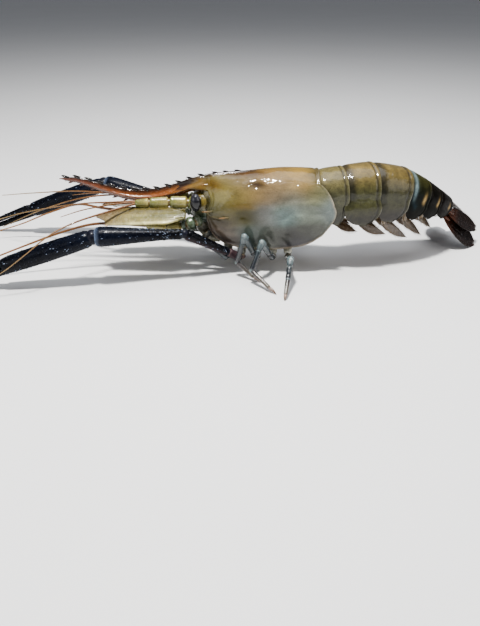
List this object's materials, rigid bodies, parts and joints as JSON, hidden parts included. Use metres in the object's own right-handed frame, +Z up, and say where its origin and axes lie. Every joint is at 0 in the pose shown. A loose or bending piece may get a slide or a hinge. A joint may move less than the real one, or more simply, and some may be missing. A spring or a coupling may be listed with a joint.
{
  "type": "giant river prawn",
  "caption": "Adult giant river prawn as a standing display model: toothed rostrum, long spiny pincers, walking legs, overlapping tail rings and a spread tail fan.",
  "frame": {"origin": "on the floor, under the middle of the whole figure's box", "axes": "+X runs from the head to the tail, the long way of the figure, so the head and pincers point to -X; -Y is the animal's left side, the one the picture shows; +Z is up"},
  "size_m": [0.3606, 0.1122, 0.0644],
  "materials": {
    "olive_shell": "wet gloss",
    "rust_rostrum": "wet gloss",
    "pale_underside": "wet gloss",
    "black_eye": "high gloss",
    "amber_feeler": "satin",
    "pale_feeler_base": "wet gloss",
    "blue_black_claw": "wet gloss",
    "steel_grey_leg": "wet gloss",
    "brown_swimmeret": "wet gloss",
    "dark_tail_fan": "wet gloss"
  },
  "bodies": {
    "root": {"abdomen_ring_1": "olive_shell", "abdomen_ring_2": "olive_shell", "abdomen_ring_3": "olive_shell", "abdomen_ring_4": "olive_shell", "abdomen_ring_5": "olive_shell", "abdomen_ring_6": "olive_shell", "antenna_flagellum_left": "amber_feeler", "antenna_flagellum_right": "amber_feeler", "antenna_left": "pale_feeler_base", "antenna_right": "pale_feeler_base", "antenna_scale_left": "pale_feeler_base", "antenna_scale_right": "pale_feeler_base", "antennule_left": "pale_feeler_base", "antennule_right": "pale_feeler_base", "carapace": "olive_shell", "cheliped_left_carpus": "blue_black_claw", "cheliped_left_finger": "blue_black_claw", "cheliped_left_merus": "blue_black_claw", "cheliped_left_palm": "blue_black_claw", "cheliped_right_carpus": "blue_black_claw", "cheliped_right_finger": "blue_black_claw", "cheliped_right_merus": "blue_black_claw", "cheliped_right_palm": "blue_black_claw", "eye_left": "black_eye", "eye_right": "black_eye", "eyestalk_left": "pale_underside", "eyestalk_right": "pale_underside", "leg_3_left_lower": "steel_grey_leg", "leg_3_left_upper": "steel_grey_leg", "leg_3_right_lower": "steel_grey_leg", "leg_3_right_upper": "steel_grey_leg", "leg_4_left_lower": "steel_grey_leg", "leg_4_left_upper": "steel_grey_leg", "leg_4_right_lower": "steel_grey_leg", "leg_4_right_upper": "steel_grey_leg", "leg_5_left_lower": "steel_grey_leg", "leg_5_left_upper": "steel_grey_leg", "leg_5_right_lower": "steel_grey_leg", "leg_5_right_upper": "steel_grey_leg", "maxilliped_left": "steel_grey_leg", "maxilliped_right": "steel_grey_leg", "rostrum": "rust_rostrum", "small_claw_left": "steel_grey_leg", "small_claw_right": "steel_grey_leg", "swimmeret_1_left": "brown_swimmeret", "swimmeret_1_right": "brown_swimmeret", "swimmeret_2_left": "brown_swimmeret", "swimmeret_2_right": "brown_swimmeret", "swimmeret_3_left": "brown_swimmeret", "swimmeret_3_right": "brown_swimmeret", "swimmeret_4_left": "brown_swimmeret", "swimmeret_4_right": "brown_swimmeret", "swimmeret_5_left": "brown_swimmeret", "swimmeret_5_right": "brown_swimmeret", "telson": "dark_tail_fan", "thorax": "pale_underside", "uropod_inner_left": "dark_tail_fan", "uropod_inner_right": "dark_tail_fan", "uropod_outer_left": "dark_tail_fan", "uropod_outer_right": "dark_tail_fan"}
  },
  "joints": []
}
